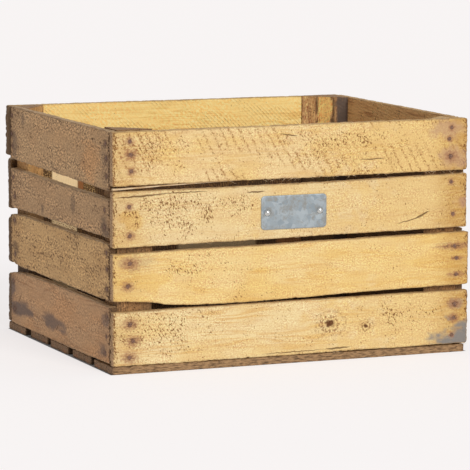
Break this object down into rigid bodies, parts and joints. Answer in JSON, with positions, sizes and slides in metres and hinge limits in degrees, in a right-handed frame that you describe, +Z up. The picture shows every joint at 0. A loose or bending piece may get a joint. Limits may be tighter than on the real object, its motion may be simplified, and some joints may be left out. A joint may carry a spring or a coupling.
{
  "type": "wooden apple crate",
  "caption": "Open-topped slatted wooden crate: rough-sawn slats nailed to three-sided corner posts over a slatted floor, for picking, storing and stacking fruit.",
  "frame": {"origin": "middle of the underside, on the surface the crate stands on", "axes": "+X along the length towards the right end wall, -Y towards the front wall with the plate, +Z up"},
  "size_m": [0.506, 0.4141, 0.312],
  "materials": {
    "pale_slat_wood": "rough-sawn pale pine with brown speckle and rust stains at the nails",
    "grey_slat_wood": "rough-sawn pine weathered grey-brown",
    "weathered_slat_wood": "rough-sawn pine, golden brown with slanting saw marks",
    "post_wood": "sawn strip, dark end grain",
    "bottom_board_wood": "rough-sawn board, dirty and dark at the ends",
    "rusty_nail": "rusted wire nail, matt",
    "galvanised_plate": "dull galvanised sheet",
    "screw_steel": "plated, scuffed"
  },
  "bodies": {
    "root": {"back_slat_1": "weathered_slat_wood", "back_slat_2": "weathered_slat_wood", "back_slat_3": "weathered_slat_wood", "back_slat_4": "weathered_slat_wood", "bottom_board_1": "bottom_board_wood", "bottom_board_2": "bottom_board_wood", "bottom_board_3": "bottom_board_wood", "bottom_board_4": "bottom_board_wood", "bottom_board_5": "bottom_board_wood", "corner_post_back_left": "post_wood", "corner_post_back_right": "post_wood", "corner_post_front_left": "post_wood", "corner_post_front_right": "post_wood", "front_slat_1": "pale_slat_wood", "front_slat_2": "pale_slat_wood", "front_slat_3": "pale_slat_wood", "front_slat_4": "pale_slat_wood", "left_end_slat_1": "grey_slat_wood", "left_end_slat_2": "grey_slat_wood", "left_end_slat_3": "grey_slat_wood", "left_end_slat_4": "grey_slat_wood", "right_end_slat_1": "weathered_slat_wood", "right_end_slat_2": "weathered_slat_wood", "right_end_slat_3": "weathered_slat_wood", "right_end_slat_4": "weathered_slat_wood", "front_nails": "rusty_nail", "back_nails": "rusty_nail", "left_end_nails": "rusty_nail", "right_end_nails": "rusty_nail", "bottom_nails": "rusty_nail", "label_plate": "galvanised_plate", "label_screws": "screw_steel"}
  },
  "joints": []
}
